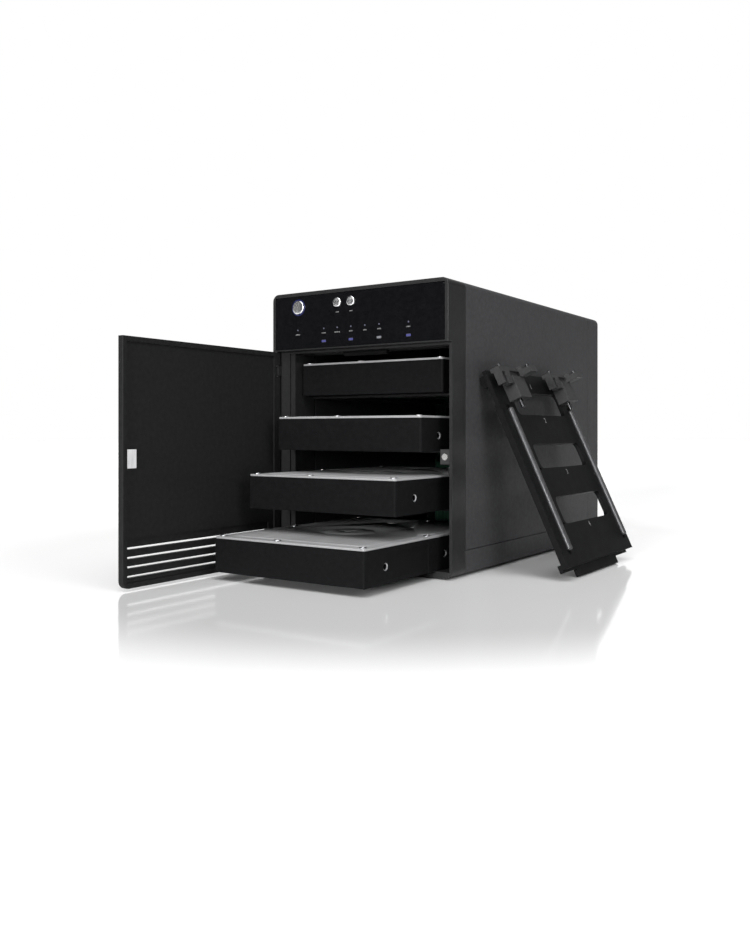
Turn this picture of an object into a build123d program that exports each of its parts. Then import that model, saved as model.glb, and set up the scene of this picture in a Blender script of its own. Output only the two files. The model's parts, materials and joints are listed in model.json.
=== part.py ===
from build123d import *
import math
import os

# A four-bay desktop drive enclosure with its front door open, four hard drives drawn out by steps,
# and the drive retainer lifted out and leant against the right side. Millimetres, +Z up, +X right
# seen from the front, +Y to the back. The origin is the middle of the case's footprint, on the
# surface that it stands on.

# ---- case ----
WIDTH = 126.0
DEPTH = 232.0
BODY_HEIGHT = 167.0
FOOT_HEIGHT = 1.0
EDGE_RADIUS = 4.3
COVER_THICK = 1.5
FRAME_WALL = 1.8
BEZEL_DEPTH = 19.5
REAR_DEPTH = 21.0
TRAY_HEIGHT = 14.0
SEAM = 0.4
PANEL_HEIGHT = 35.5
PANEL_RIM = 2.3
FASCIA_THICK = 2.4

# ---- door ----
DOOR_THICK = 3.8
DOOR_WIDTH = 125.9
DOOR_RIM = 2.8
DOOR_GAP = 0.4
DOOR_CORNER = 4.3
LINER_THICK = 1.4
PIN_RADIUS = 0.8
LUG_HEIGHT = 6.0
RUNNING_GAP = 0.05
SLOT_COUNT = 4
SLOT_HEIGHT = 1.3
SLOT_PITCH = 4.9
SLOT_LOWEST = 7.3
SLOT_FIELD_DEPTH = 0.5

# ---- drives: the standard 3.5 inch size ----
DRIVE_WIDTH = 101.6
DRIVE_LENGTH = 147.0
DRIVE_HEIGHT = 20.2
LID_THICK = 1.5
BAY_PITCH = 33.5
LOWEST_DRIVE = 4.6
DRIVE_TO_SIDE = 10.0
DRIVE_PROUD = {1: -11.4, 2: 12.4, 3: 38.3, 4: 66.6}
SHELF_THICK = 1.2
SHELF_GAP = 0.2
CAGE_WALL = 1.5
CAGE_GAP = 0.5
CAGE_SLOT = 3.4
SIDE_HOLES = (19.4, 80.5, 122.0)
SIDE_HOLE_HEIGHT = 8.8
SIDE_HOLE_RADIUS = 1.6
COUNTERSINK_RADIUS = 2.5
COUNTERSINK_DEPTH = 0.9

# ---- fan and electronics ----
FAN_SIZE = 80.0
FAN_DEPTH = 20.0
FAN_HEIGHT = 112.0
FAN_SCREW_PITCH = 71.5
FAN_BORE = 38.2
FAN_SHAFT = 1.5
BEARING_POST = 4.0
FAN_HUB = 16.5
BLADE_COUNT = 7
BOARD_THICK = 1.6
MAIN_BOARD_UNDER = 9.0
MAIN_BOARD_TOP = MAIN_BOARD_UNDER + BOARD_THICK
# each port's middle, width and height; all of them stand on the main board
PORTS = {
    "dc_inlet": (-38.0, 14.2, 13.0),
    "usb_socket": (-8.0, 12.0, 12.4),
    "esata_socket": (22.0, 16.6, 8.0),
}
PORT_GAP = 0.2

# ---- retainer ----
RETAINER_WIDTH = 108.0
RETAINER_LENGTH = 121.0
RETAINER_PLATE = 2.6
RETAINER_BACK = 6.4
RETAINER_TAB = 6.0
RETAINER_LEAN = 24.7
RETAINER_BEHIND_FRONT = 34.5
ROD_RADIUS = 1.75
ROD_PLACES = (10.0, 101.5)
BAR_BANDS = ((0.0, 24.0), (40.5, 58.5), (74.0, 93.0), (108.5, RETAINER_LENGTH))
RIB_TOP = RETAINER_LENGTH - 2.0
WINDOW_LEFT, WINDOW_RIGHT = 20.5, 92.0
LATCH_PITCH = 73.6
LATCH_LOW, LATCH_HIGH = 101.0, 114.6
LATCH_OUT = 7.8
LATCH_TRAVEL = 3.0
BRIDGE_THICK = 2.4
PIN_LENGTH = 2.6
ARM_DROP = 2.2

# ---- planes worked out from the sizes ----
LEFT, RIGHT = -WIDTH / 2, WIDTH / 2
FRONT, BACK = -DEPTH / 2, DEPTH / 2
BOTTOM, TOP = FOOT_HEIGHT, FOOT_HEIGHT + BODY_HEIGHT
JAMB = FRONT + DOOR_THICK + 0.2
BEZEL_BACK = FRONT + BEZEL_DEPTH
REAR_FRONT = BACK - REAR_DEPTH
SEAM_HEIGHT = BOTTOM + TRAY_HEIGHT
PANEL_BOTTOM = TOP - PANEL_HEIGHT
REAR_FACE = BACK - 2.0
REAR_INSIDE = REAR_FACE - 2.0
DRIVE_RIGHT = RIGHT - DRIVE_TO_SIDE
DRIVE_LEFT = DRIVE_RIGHT - DRIVE_WIDTH
CAGE_LEFT = DRIVE_LEFT - CAGE_GAP
CAGE_RIGHT = DRIVE_RIGHT + CAGE_GAP
DOCKED_FRONT = FRONT + 25.0
CAGE_BACK = DOCKED_FRONT + DRIVE_LENGTH + 6.0
MAIN_BOARD_FRONT = CAGE_BACK + 4.0
BAY_TOP = PANEL_BOTTOM - 1.5
BAY_RIGHT = RIGHT - FRAME_WALL
LIP_TOP = LOWEST_DRIVE - SHELF_GAP
PIN_X = LEFT + DOOR_THICK / 2 + 0.1
PIN_Y = FRONT + DOOR_THICK / 2
DOOR_BOTTOM, DOOR_TOP = BOTTOM + DOOR_GAP, PANEL_BOTTOM - DOOR_GAP
DOOR_INNER = PIN_X + DOOR_THICK / 2
DOOR_FREE = PIN_Y - (DOOR_WIDTH - DOOR_THICK / 2)
LUG_CENTRES = (BOTTOM + 12.0, PANEL_BOTTOM - 12.0)

POWER_ROW, SMALL_ROW = TOP - 9.3, TOP - 8.3
LAMP_ROW = TOP - 23.2
ICON_ROW = TOP - 30.8
GRID = 10.0
POWER_AT, MODE_AT, SYNC_AT = LEFT + 2 * GRID + 0.6, LEFT + 5 * GRID, LEFT + 6 * GRID
LAMPS_AT = [LEFT + GRID * step for step in (2, 4, 5, 6, 7, 8, 10)]
ICONS_AT = [LEFT + GRID * step for step in (4, 6, 8, 10)]
POWER_RADIUS, SMALL_RADIUS = 4.25, 2.9
BUTTON_PROUD = 0.9
LAMP_RADIUS = 0.45
CONTROL_BOARD_FRONT = FRONT + 8.0


def drive_bottom(bay):
    """Height of the underside of a drive; bay 1 is the top one."""
    return LOWEST_DRIVE + BAY_PITCH * (4 - bay)


def block(x0, x1, y0, y1, z0, z1):
    """A box between two corners."""
    centre = Pos((x0 + x1) / 2, (y0 + y1) / 2, (z0 + z1) / 2)
    return centre * Box(x1 - x0, y1 - y0, z1 - z0)


def drum_y(x, z, y0, y1, radius):
    """A cylinder that lies along Y."""
    return Pos(x, (y0 + y1) / 2, z) * Rot(90, 0, 0) * Cylinder(radius, y1 - y0)


def drum_z(x, y, z0, z1, radius):
    """An upright cylinder."""
    return Pos(x, y, (z0 + z1) / 2) * Cylinder(radius, z1 - z0)


def case_prism(y0, y1, inset=0.0):
    """A stretch of the case's rounded outline, drawn in by an inset."""
    radius = max(EDGE_RADIUS - inset, 0.6)
    outline = RectangleRounded(WIDTH - 2 * inset, BODY_HEIGHT - 2 * inset, radius)
    return Pos(0, y1, BOTTOM + BODY_HEIGHT / 2) * Rot(90, 0, 0) * extrude(outline, amount=y1 - y0)


def group(solids):
    """Separate solids that share one node."""
    return Compound(children=[part.solid() if hasattr(part, "solid") else part for part in solids])


# ======== case shells ========

def make_front_bezel():
    shell = case_prism(FRONT, BEZEL_BACK)
    front_edges = shell.edges().group_by(Axis.Y)[0]
    shell = fillet(front_edges, 0.5)
    # the spigot that the cover slides over
    spigot = case_prism(BEZEL_BACK, BEZEL_BACK + 5.0, COVER_THICK + 0.1)
    spigot -= block(LEFT, RIGHT, BEZEL_BACK - 1, BEZEL_BACK + 6, 0, SEAM_HEIGHT + 1.0)
    shell += spigot
    # the door closes into a step in front of the jambs
    shell -= block(LEFT - 1, RIGHT + 1, FRONT - 1, JAMB, 0, PANEL_BOTTOM)
    # drive bay opening, with a shallow rebate beside it for the retainer's edge
    shell -= block(CAGE_LEFT, BAY_RIGHT, JAMB - 1, BEZEL_BACK + 6, LIP_TOP, BAY_TOP)
    shell -= block(CAGE_LEFT - 3.4, CAGE_LEFT + 1, JAMB - 1, JAMB + 1.2, LIP_TOP, BAY_TOP)
    # hollow head behind the fascia, open to the back
    rim = PANEL_RIM
    shell -= block(LEFT + rim, RIGHT - rim, FRONT - 1, FRONT + FASCIA_THICK + 0.1,
                   PANEL_BOTTOM + 0.8, TOP - rim)
    shell -= block(LEFT + rim + 1.5, RIGHT - rim - 1.5, FRONT, BEZEL_BACK + 6,
                   PANEL_BOTTOM + 2.0, TOP - rim - 1.5)
    # slot in the sill and holes overhead take the retainer's tab and latch pins
    middle = (CAGE_LEFT + BAY_RIGHT) / 2
    shell -= block(middle - 33.5, middle + 33.5, BEZEL_BACK - 6.0, BEZEL_BACK - 2.4, 0, LIP_TOP + 1)
    for pin_x in retainer_pin_places():
        shell -= drum_z(pin_x, BEZEL_BACK - 9.0, BAY_TOP - 1, PANEL_BOTTOM + 3, 1.5)
    # hinge lugs stand out from the left jamb
    for centre in LUG_CENTRES:
        low, high = centre - LUG_HEIGHT / 2, centre + LUG_HEIGHT / 2
        lug = drum_z(PIN_X, PIN_Y, low, high, DOOR_THICK / 2)
        lug += block(PIN_X - DOOR_THICK / 2, PIN_X + DOOR_THICK / 2, PIN_Y, JAMB + 0.5, low, high)
        lug -= drum_z(PIN_X, PIN_Y, low - 1, high + 1, PIN_RADIUS)
        shell += lug
    return shell


def retainer_pin_places():
    """Where the retainer's latch pins meet the head when it is fitted."""
    start = CAGE_LEFT + (BAY_RIGHT - CAGE_LEFT - RETAINER_WIDTH) / 2
    return [start + LATCH_PITCH * step + offset for step in (0, 1) for offset in (8.0, 29.0)]


def magnet_place():
    return BAY_RIGHT - 3.2, BOTTOM + 67.5


def make_top_cover():
    y0, y1 = BEZEL_BACK + SEAM, REAR_FRONT - SEAM
    cover = case_prism(y0, y1) - case_prism(y0 - 1, y1 + 1, COVER_THICK)
    return cover - block(LEFT - 1, RIGHT + 1, y0 - 1, y1 + 1, 0, SEAM_HEIGHT + SEAM)


def make_base_tray():
    tray = case_prism(BEZEL_BACK, REAR_FRONT)
    tray -= block(LEFT - 1, RIGHT + 1, BEZEL_BACK - 1, REAR_FRONT + 1, SEAM_HEIGHT, TOP + 1)
    floor_top = LIP_TOP - SHELF_THICK
    inner = block(LEFT + FRAME_WALL, RIGHT - FRAME_WALL, BEZEL_BACK - 1, REAR_FRONT + 1,
                  floor_top, SEAM_HEIGHT + 1)
    tray -= fillet(inner.edges().filter_by(Axis.Y).group_by(Axis.Z)[0], 2.0)
    # a tongue along each side wall backs the seam under the cover
    for side in (-1, 1):
        inside = side * (WIDTH / 2 - FRAME_WALL)
        deeper = inside - side * 1.2
        x0, x1 = min(inside, deeper), max(inside, deeper)
        tray += block(x0, x1, BEZEL_BACK + 6, REAR_FRONT - 6, floor_top, SEAM_HEIGHT + 3)
    # posts for the main board
    for x, y in board_post_places():
        tray += drum_z(x, y, floor_top - 0.1, MAIN_BOARD_UNDER, 3.0)
    # air slots under the drives
    for step in range(9):
        y = -70.0 + 12.0 * step
        tray -= block(-30, 34, y, y + 3.0, 0, floor_top + 1)
    return tray


def board_post_places():
    return [(x, y) for x in (-48.0, 48.0) for y in (MAIN_BOARD_FRONT + 6.0, REAR_FRONT - 6.0)]


def make_rear_surround():
    """The frame around the back, with a spigot under the cover."""
    shell = case_prism(REAR_FRONT, BACK)
    shell = fillet(shell.edges().group_by(Axis.Y)[-1], 0.8)
    shell -= case_prism(REAR_FRONT - 1, BACK + 1, FRAME_WALL)
    spigot = case_prism(REAR_FRONT - 5.0, REAR_FRONT, COVER_THICK + 0.1)
    spigot -= case_prism(REAR_FRONT - 6.0, REAR_FRONT + 1, COVER_THICK + 1.6)
    spigot -= block(LEFT, RIGHT, REAR_FRONT - 6, REAR_FRONT + 1, 0, SEAM_HEIGHT + 3.2)
    return shell + spigot


def make_rear_plate():
    """The flat plate that carries the fan and lets the sockets through."""
    def cut(x0, x1, z0, z1):
        return block(x0, x1, REAR_INSIDE - 1, REAR_FACE + 1, z0, z1)

    plate = case_prism(REAR_INSIDE, REAR_FACE, FRAME_WALL)
    plate -= drum_y(0, FAN_HEIGHT, REAR_INSIDE - 1, REAR_FACE + 1, 37.5)
    for x, z in fan_screw_places():
        plate -= drum_y(x, z, REAR_INSIDE - 1, REAR_FACE + 1, 2.2)
    for x, z in cover_screw_places():
        plate -= drum_y(x, z, REAR_INSIDE - 1, REAR_FACE + 1, 1.5)
    for x, width, height in PORTS.values():
        half = width / 2 + PORT_GAP
        plate -= cut(x - half, x + half, MAIN_BOARD_TOP - PORT_GAP, MAIN_BOARD_TOP + height + PORT_GAP)
    # cable-lock slot, and narrow air slots to both sides
    plate -= cut(46.0, 53.0, 40.0, 43.0)
    for step in range(5):
        z = 48.0 + 4.0 * step
        for x0, x1 in ((-54, -30), (30, 54)):
            plate -= cut(x0, x1, z, z + 1.6)
    return plate


def fan_screw_places():
    half = FAN_SCREW_PITCH / 2
    return [(x, FAN_HEIGHT + z) for x in (-half, half) for z in (-half, half)]


def cover_screw_places():
    return [(x, z) for x in (LEFT + 9.0, RIGHT - 9.0) for z in (BOTTOM + 30.0, TOP - 8.0)]


def make_rubber_feet():
    pads = []
    for x in (LEFT + 14.0, RIGHT - 14.0):
        for y in (FRONT + 22.0, BACK - 18.0):
            pad = drum_z(x, y, 0, BOTTOM, 6.0)
            pads.append(chamfer(pad.edges().group_by(Axis.Z)[0], 0.3))
    return group(pads)


def make_pan_screws(places, face, head_radius, shank_radius, length):
    """Cross-recess screws that are driven forwards into a face."""
    screws = []
    head_height, recess, cross = 1.6, 0.9, 3.2
    for x, z in places:
        head = drum_y(x, z, face, face + head_height, head_radius)
        head = chamfer(head.edges().group_by(Axis.Y)[-1], 0.5)
        head += drum_y(x, z, face - length, face, shank_radius)
        for width, height in ((cross, 0.7), (0.7, cross)):
            head -= block(x - width / 2, x + width / 2, face + head_height - recess,
                          face + head_height + 1, z - height / 2, z + height / 2)
        screws.append(head)
    return group(screws)


# ======== control panel ========

def make_control_panel():
    rim = PANEL_RIM + 0.1
    y0, y1 = FRONT + 0.1, FRONT + 0.1 + FASCIA_THICK
    fascia = block(LEFT + rim, RIGHT - rim, y0, y1, PANEL_BOTTOM + 0.9, TOP - rim)
    fascia = fillet(fascia.edges().filter_by(Axis.Y).group_by(Axis.Z)[-1], 2.0)
    fascia = chamfer(fascia.edges().group_by(Axis.Y)[0], 0.25)
    for x, z, radius in button_places():
        fascia -= drum_y(x, z, y0 - 1, y1 + 1, radius + 0.1)
    for x in LAMPS_AT:
        fascia -= drum_y(x, LAMP_ROW, y0 - 1, y1 + 1, LAMP_RADIUS)
    for x in ICONS_AT:
        fascia -= block(x - 1.4, x + 1.4, y0 - 1, y1 + 1, ICON_ROW - 0.7, ICON_ROW + 0.7)
    return fascia


def button_places():
    return [(POWER_AT, POWER_ROW, POWER_RADIUS), (MODE_AT, SMALL_ROW, SMALL_RADIUS),
            (SYNC_AT, SMALL_ROW, SMALL_RADIUS)]


def make_light_pipes():
    pipes = [drum_y(x, LAMP_ROW, FRONT + 0.1, CONTROL_BOARD_FRONT - 0.1, LAMP_RADIUS)
             for x in LAMPS_AT]
    for x in ICONS_AT:
        pipes.append(block(x - 1.4, x + 1.4, FRONT + 0.1, CONTROL_BOARD_FRONT - 0.1,
                           ICON_ROW - 0.7, ICON_ROW + 0.7))
    return group(pipes)


def make_control_board():
    y0 = CONTROL_BOARD_FRONT
    inside = PANEL_RIM + 1.6
    board = block(LEFT + inside, RIGHT - inside, y0, y0 + BOARD_THICK, PANEL_BOTTOM + 2.1,
                  TOP - inside)
    # lamp bodies on the board
    for x in LAMPS_AT:
        board += block(x - 1.0, x + 1.0, y0 - 0.1, y0 + 0.2, LAMP_ROW - 1.0, LAMP_ROW + 1.0)
    return board


def make_button_switches():
    switches = []
    y1 = CONTROL_BOARD_FRONT
    for x, z, _ in button_places():
        body = block(x - 2.2, x + 2.2, y1 - 1.4, y1, z - 2.2, z + 2.2)
        switches.append(body + drum_y(x, z, y1 - 2.0, y1 - 1.3, 1.0))
    return group(switches)


def make_button(x, z, radius):
    """A domed metal cap with a retaining flange behind the fascia."""
    y0 = FRONT + 0.1 - BUTTON_PROUD
    flange_front = FRONT + 0.1 + FASCIA_THICK + 0.1
    cap = drum_y(x, z, y0, flange_front, radius)
    cap = fillet(cap.edges().group_by(Axis.Y)[0], 0.6)
    cap += drum_y(x, z, flange_front, flange_front + 0.8, radius + 0.7)
    return cap + drum_y(x, z, flange_front, CONTROL_BOARD_FRONT - 3.2, 1.2)


def make_retainer_keeper():
    """The grip bar under the head that the fitted retainer catches behind."""
    y0 = FRONT + 10.0
    keeper = block(-15.6, 15.6, y0, y0 + 3.4, PANEL_BOTTOM - 3.9, BAY_TOP)
    low = keeper.edges().group_by(Axis.Z)[0].filter_by(Axis.X)
    return chamfer(low, 0.8)


# ======== bay cage ========

def make_cage_wall(x0, x1):
    """A side sheet of the bay cage, with two rows of narrow air slots beside each drive."""
    wall = block(x0, x1, BEZEL_BACK + 6.0, CAGE_BACK, LIP_TOP, BAY_TOP + 1.5)
    for bay in range(1, 5):
        for low in (drive_bottom(bay) + 4.0, drive_bottom(bay) + 11.0):
            for step in range(4):
                y0 = BEZEL_BACK + 12.0 + 36.0 * step
                wall -= block(x0 - 1, x1 + 1, y0, y0 + 28.0, low, low + CAGE_SLOT)
    return wall


def make_bay_shelves():
    """A shelf under each drive: a front strip, two rails and an open middle."""
    shelves = []
    for bay in range(1, 5):
        top = drive_bottom(bay) - SHELF_GAP
        shelf = block(CAGE_LEFT, CAGE_RIGHT, BEZEL_BACK + 4.0, CAGE_BACK - 6.0, top - SHELF_THICK, top)
        shelf -= block(CAGE_LEFT + 9, CAGE_RIGHT - 9, BEZEL_BACK + 18.0, CAGE_BACK,
                       top - SHELF_THICK - 1, top + 1)
        shelves.append(shelf)
    return group(shelves)


def socket_centre():
    return (DRIVE_LEFT + DRIVE_RIGHT) / 2 - 18.0


def make_backplane_board():
    y0 = CAGE_BACK
    board = block(CAGE_LEFT - 1.5, CAGE_RIGHT + 1.5, y0, y0 + BOARD_THICK, LIP_TOP + 1.0, BAY_TOP)
    for bay in range(1, 4):
        low = drive_bottom(bay) - 11.0
        for x in (-40.0, -8.0, 24.0):
            board -= block(x, x + 20.0, y0 - 1, y0 + 3, low, low + 7.0)
    return board


def make_drive_sockets():
    sockets = []
    for bay in range(1, 5):
        z, x = drive_bottom(bay), socket_centre()
        body = block(x - 21, x + 21, CAGE_BACK - 5.0, CAGE_BACK, z + 2.0, z + 8.0)
        tongue = block(x - 19, x + 19, CAGE_BACK - 10.0, CAGE_BACK - 4.9, z + 4.4, z + 5.6)
        sockets.append(body + tongue)
    return group(sockets)


def make_main_board():
    return block(-54, 54, MAIN_BOARD_FRONT, REAR_INSIDE - 3.0, MAIN_BOARD_UNDER, MAIN_BOARD_TOP)


def make_board_chips():
    z0 = MAIN_BOARD_TOP
    y = MAIN_BOARD_FRONT
    sink = block(20, 44, y + 3, y + 25, z0, z0 + 2.5)
    for step in range(6):
        sink += block(20 + 4.4 * step, 22 + 4.4 * step, y + 3, y + 25, z0 + 2.4, z0 + 9.0)
    chips = [sink]
    chips.append(block(-10, 4, y + 6, y + 20, z0, z0 + 1.6))
    chips.append(block(-34, -24, y + 8, y + 16, z0, z0 + 1.4))
    for x in (-46.0, -18.0):
        chips.append(drum_z(x, y + 22, z0, z0 + 11.0, 4.0))
    return group(chips)


def make_port(name):
    """A socket body on the main board that reaches the rear face."""
    x, width, height = PORTS[name]
    w, h = width / 2, height / 2
    shell = block(x - w, x + w, REAR_FACE - 16.0, REAR_FACE + 0.4,
                  MAIN_BOARD_TOP, MAIN_BOARD_TOP + height)
    return shell, x, MAIN_BOARD_TOP + h, w, h


def make_dc_inlet():
    shell, x, z, _, _ = make_port("dc_inlet")
    shell -= drum_y(x, z, REAR_FACE - 9.0, REAR_FACE + 1, 3.6)
    return shell + drum_y(x, z, REAR_FACE - 9.5, REAR_FACE - 1.0, 1.0)


def make_usb_socket():
    shell, x, z, w, h = make_port("usb_socket")
    mouth = block(x - w + 0.8, x + w - 0.8, REAR_FACE - 9.0, REAR_FACE + 1, z - h + 0.8, z + h - 0.8)
    upright = mouth.edges().filter_by(Axis.Y).group_by(Axis.Z)[-1]
    shell -= chamfer(upright, 2.0)
    return shell + block(x - 3, x + 3, REAR_FACE - 9.5, REAR_FACE - 1.0, z - 1.6, z + 1.6)


def make_esata_socket():
    shell, x, z, w, h = make_port("esata_socket")
    shell -= block(x - w + 1.0, x + w - 1.0, REAR_FACE - 8.0, REAR_FACE + 1, z - h + 1.0, z + h - 1.0)
    return shell + block(x - w + 3, x + w - 3, REAR_FACE - 8.5, REAR_FACE - 1.0, z - 0.6, z + 0.6)


def make_door_magnet():
    x, z = magnet_place()
    return drum_y(x, z, JAMB + 0.4, JAMB + 5.4, 1.8)


def make_magnet_holder():
    x, z = magnet_place()
    holder = block(x - 3.2, x + 3.2, JAMB + 1.2, JAMB + 9.5, z - 4.2, z + 4.2)
    return holder - drum_y(x, z, JAMB, JAMB + 5.4, 1.8)


# ======== fan ========

def make_fan_frame():
    y0, y1 = REAR_INSIDE - FAN_DEPTH, REAR_INSIDE
    half = FAN_SIZE / 2
    frame = block(-half, half, y0, y1, FAN_HEIGHT - half, FAN_HEIGHT + half)
    frame = fillet(frame.edges().filter_by(Axis.Y), 4.0)
    frame -= drum_y(0, FAN_HEIGHT, y0 - 1, y1 + 1, FAN_BORE)
    for x, z in fan_screw_places():
        frame -= drum_y(x, z, y0 - 1, y1 + 1, 2.15)
    return frame


def make_fan_motor_mount():
    """The motor plate on its four struts, at the outlet side, with the shaft's bearing post."""
    y1 = REAR_INSIDE
    mount = drum_y(0, FAN_HEIGHT, y1 - 2.4, y1, 17.0)
    for angle in (45, 135):
        mount += Pos(0, y1 - 1.0, FAN_HEIGHT) * Rot(0, angle, 0) * Box(78.0, 2.0, 3.2)
    mount = mount & drum_y(0, FAN_HEIGHT, y1 - 3.0, y1, FAN_BORE)
    mount += drum_y(0, FAN_HEIGHT, y1 - 9.0, y1 - 2.3, BEARING_POST)
    return mount - drum_y(0, FAN_HEIGHT, y1 - 10.0, y1 - 1.0, FAN_SHAFT + RUNNING_GAP)


def rotor_reach():
    """The rotor's two ends along Y."""
    return REAR_INSIDE - FAN_DEPTH + 1.5, REAR_INSIDE - 3.0


def make_fan_rotor():
    y0, y1 = rotor_reach()
    hub = drum_y(0, FAN_HEIGHT, y0, y1, FAN_HUB)
    hub = fillet(hub.edges().group_by(Axis.Y)[0], 1.5)
    # a well at the back clears the bearing post, and the shaft runs in the post
    well = y0 + 9.0
    hub -= drum_y(0, FAN_HEIGHT, well, y1 + 1, BEARING_POST + 0.6)
    return hub + drum_y(0, FAN_HEIGHT, well - 0.1, y1 + 1.4, FAN_SHAFT)


def make_fan_blades():
    """The pitched blades that stand on the rotor's hub."""
    y0, y1 = rotor_reach()
    sweep = drum_y(0, FAN_HEIGHT, y0 + 1.6, y1 - 0.2, 37.2) - drum_y(0, FAN_HEIGHT, y0, y1, FAN_HUB)
    blades = []
    for number in range(BLADE_COUNT):
        blade = Pos(0, 0, 26.4) * Rot(0, 0, 38) * Box(22.0, 1.4, 24.0)
        turn = Pos(0, (y0 + y1) / 2, FAN_HEIGHT) * Rot(0, 360 / BLADE_COUNT * number, 0)
        blades.append(turn * blade & sweep)
    return group(blades)


def make_fan_guard():
    """Wire rings on four spokes, with an eye at each screw."""
    wire = 0.8
    y = REAR_FACE + wire
    guard = None
    for radius in (9.0, 16.0, 23.0, 30.0, 37.0):
        ring = Pos(0, y, FAN_HEIGHT) * Rot(90, 0, 0) * Torus(radius, wire)
        guard = ring if guard is None else guard + ring
    for angle in (45, 135, 225, 315):
        spoke = Pos(28.0, 0, 0) * Rot(0, 90, 0) * Cylinder(wire, 41.0)
        guard += Pos(0, y, FAN_HEIGHT) * Rot(0, angle, 0) * spoke
    for x, z in fan_screw_places():
        eye = drum_y(x, z, REAR_FACE, REAR_FACE + 2 * wire, 4.2)
        guard += eye
    for x, z in fan_screw_places():
        guard -= drum_y(x, z, REAR_FACE - 1, REAR_FACE + 3 * wire, 2.15)
    return guard


# ======== door ========

def door_slots(x0, x1):
    """The four long air slots near the bottom of the door."""
    slots = []
    for step in range(SLOT_COUNT):
        z = SLOT_LOWEST + SLOT_PITCH * step
        slots.append(block(x0, x1, DOOR_FREE + DOOR_RIM + 0.8, PIN_Y - 10.0,
                           z - SLOT_HEIGHT / 2, z + SLOT_HEIGHT / 2))
    return slots


def door_pocket(x0, x1, inset=0.0):
    rim = DOOR_RIM + inset
    return block(x0, x1, DOOR_FREE + rim, PIN_Y - 5.0 - inset, DOOR_BOTTOM + rim, DOOR_TOP - rim)


def make_door_panel():
    x0, x1 = PIN_X - DOOR_THICK / 2, DOOR_INNER
    panel = block(x0, x1, DOOR_FREE, PIN_Y, DOOR_BOTTOM, DOOR_TOP)
    bottom_corner = panel.edges().filter_by(Axis.X).group_by(Axis.Z)[0].sort_by(Axis.Y)[0]
    panel = fillet(bottom_corner, DOOR_CORNER)
    panel += drum_z(PIN_X, PIN_Y, DOOR_BOTTOM, DOOR_TOP, DOOR_THICK / 2)
    outer = panel.edges().filter_by(Axis.Z).sort_by(Axis.Y)[:2]
    panel = fillet(outer, 0.5)
    panel -= door_pocket(x1 - 0.8 - LINER_THICK, x1 + 1)
    for slot in door_slots(x0 - 1, x1 + 1):
        panel -= slot
    # notches for the hinge lugs, and the pin holes above and below them
    for centre in LUG_CENTRES:
        low, high = centre - LUG_HEIGHT / 2 - 0.3, centre + LUG_HEIGHT / 2 + 0.3
        panel -= block(x0 - 1, x1 + 1, PIN_Y - 3.4, PIN_Y + 4, low, high)
        panel -= drum_z(PIN_X, PIN_Y, low - 4.0, high + 4.0, PIN_RADIUS + RUNNING_GAP)
    return panel


def make_door_liner():
    x1 = DOOR_INNER - 0.8
    liner = door_pocket(x1 - LINER_THICK, x1, 0.1)
    for slot in door_slots(x1 - LINER_THICK - 1, x1 + 1):
        liner -= slot
    # the slots lie in a shallow field of their own
    field_top = SLOT_LOWEST + SLOT_PITCH * SLOT_COUNT
    return liner - block(x1 - SLOT_FIELD_DEPTH, x1 + 1, DOOR_FREE + DOOR_RIM + 0.8, PIN_Y - 10.0,
                         SLOT_LOWEST - SLOT_HEIGHT, field_top)


def make_strike_plate():
    z = magnet_place()[1]
    x1 = DOOR_INNER - 0.1
    y0 = DOOR_FREE + DOOR_RIM + 0.2
    plate = block(x1 - 0.7, x1, y0, y0 + 6.0, z - 4.9, z + 4.9)
    return fillet(plate.edges().filter_by(Axis.X), 0.4)


def make_hinge_pins():
    pins = []
    for centre in LUG_CENTRES:
        reach = LUG_HEIGHT / 2 + 3.8
        pin = drum_z(PIN_X, PIN_Y, centre - reach, centre + reach, PIN_RADIUS)
        pins.append(chamfer(pin.edges().filter_by(GeomType.CIRCLE), 0.2))
    return group(pins)


# ======== drives ========

def lid_screw_places():
    rows = [(x, y) for x in (3.6, DRIVE_WIDTH - 3.6) for y in (3.8, 66.0, DRIVE_LENGTH - 12.0)]
    return rows + [(DRIVE_WIDTH / 2 - 8, 3.4), (DRIVE_WIDTH / 2 + 6.0, DRIVE_LENGTH - 10.0)]


def hub_place():
    return DRIVE_WIDTH / 2 - 2.3, 61.0


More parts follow.
